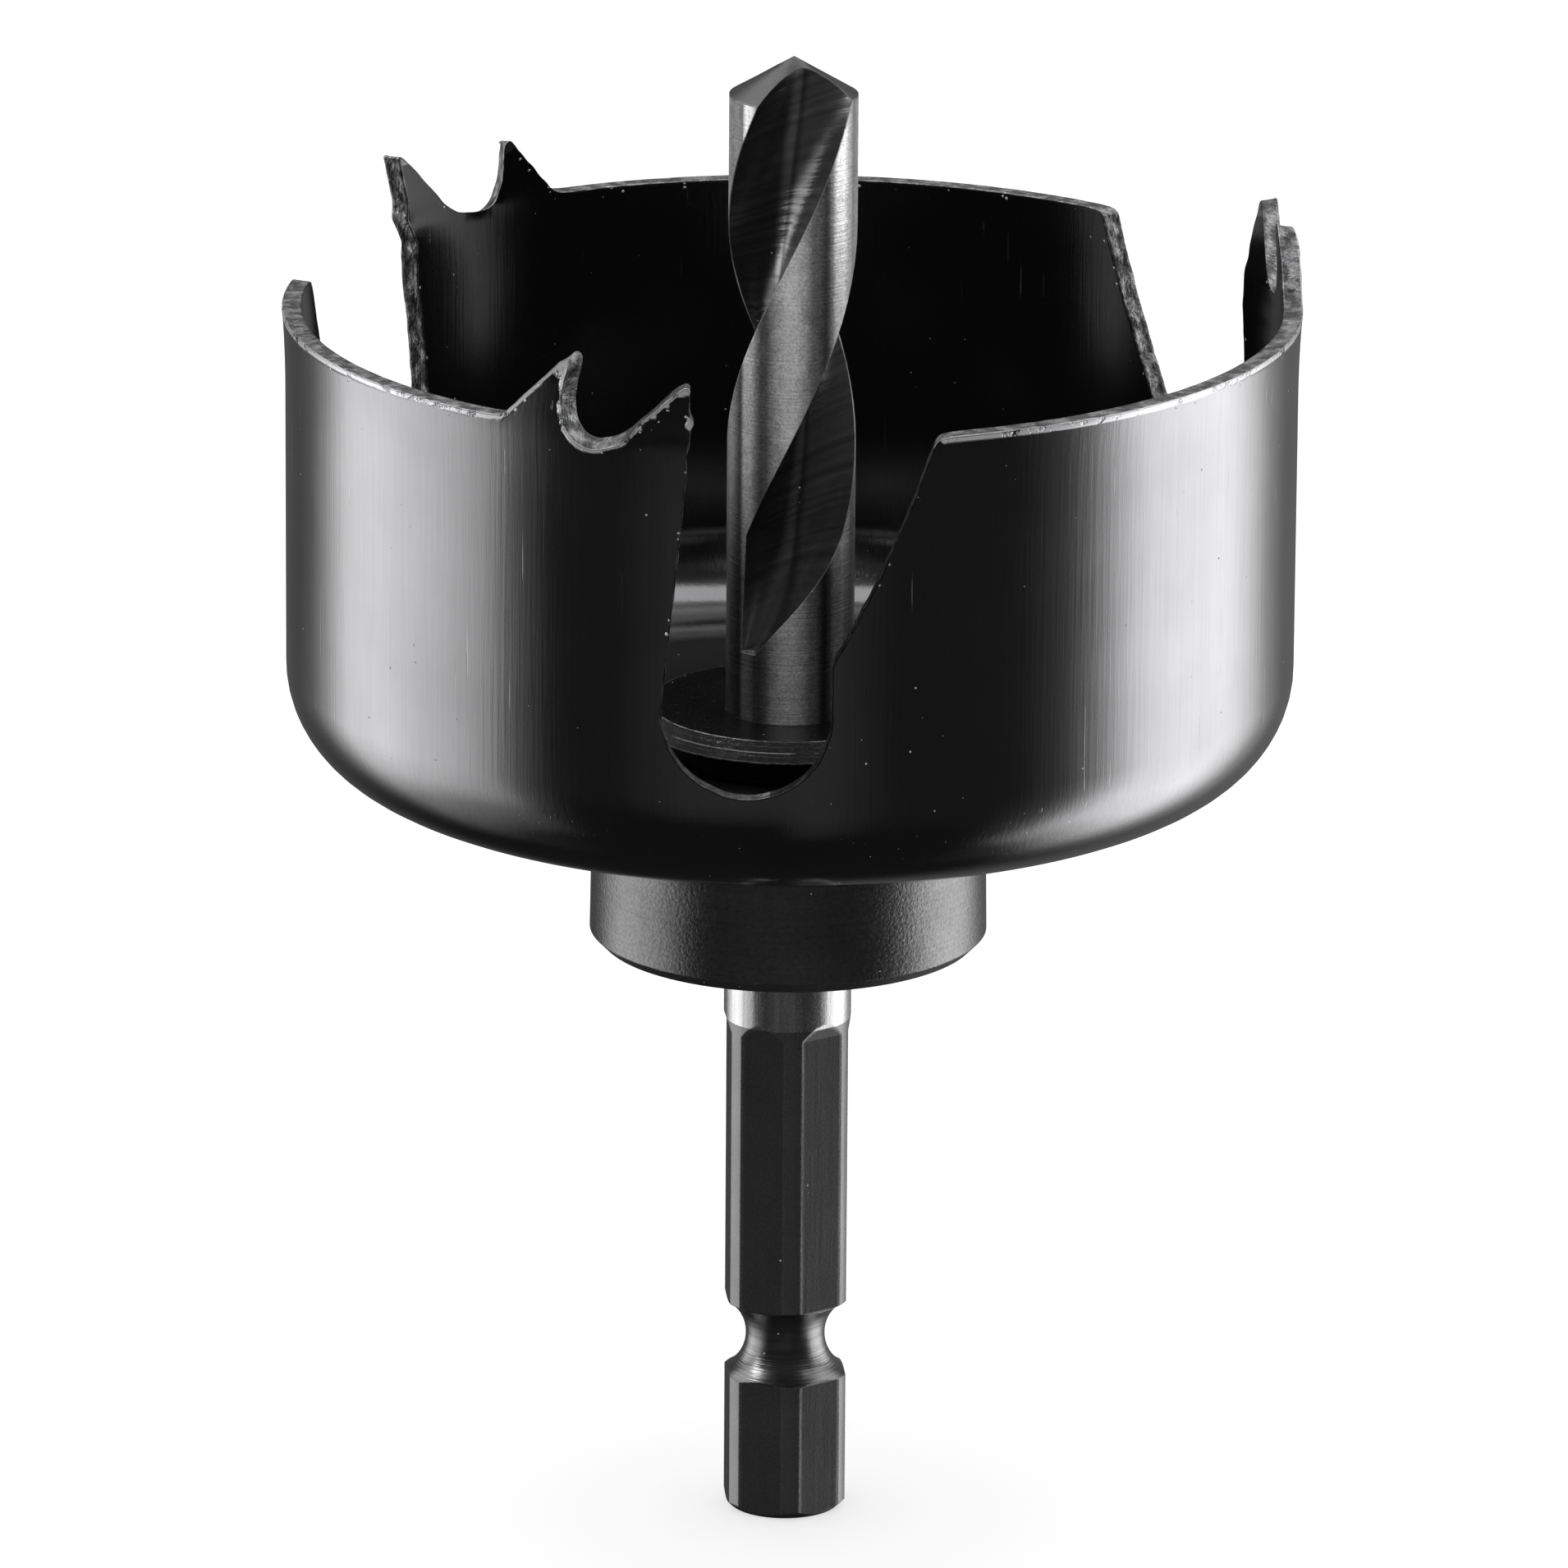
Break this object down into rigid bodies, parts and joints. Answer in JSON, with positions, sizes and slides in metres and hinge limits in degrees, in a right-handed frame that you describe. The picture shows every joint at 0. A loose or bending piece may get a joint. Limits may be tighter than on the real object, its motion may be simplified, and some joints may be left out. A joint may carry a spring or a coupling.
{
  "type": "hole saw",
  "caption": "Hole saw with a deep pressed steel cup, set teeth beside chip slots, a twist pilot drill and a quick-change hex shank.",
  "frame": {"origin": "centre of the shank's end face", "axes": "+Z along the tool's axis from the shank to the drill point, -Y through the front slot"},
  "size_m": [0.0546, 0.055, 0.0815],
  "materials": {
    "blued_steel": "satin",
    "black_steel": "satin",
    "rod_steel": "satin"
  },
  "bodies": {
    "root": {"saw_cup": "blued_steel", "hub": "black_steel", "clamp_disc": "black_steel", "pilot_arbor": "rod_steel"}
  },
  "joints": []
}
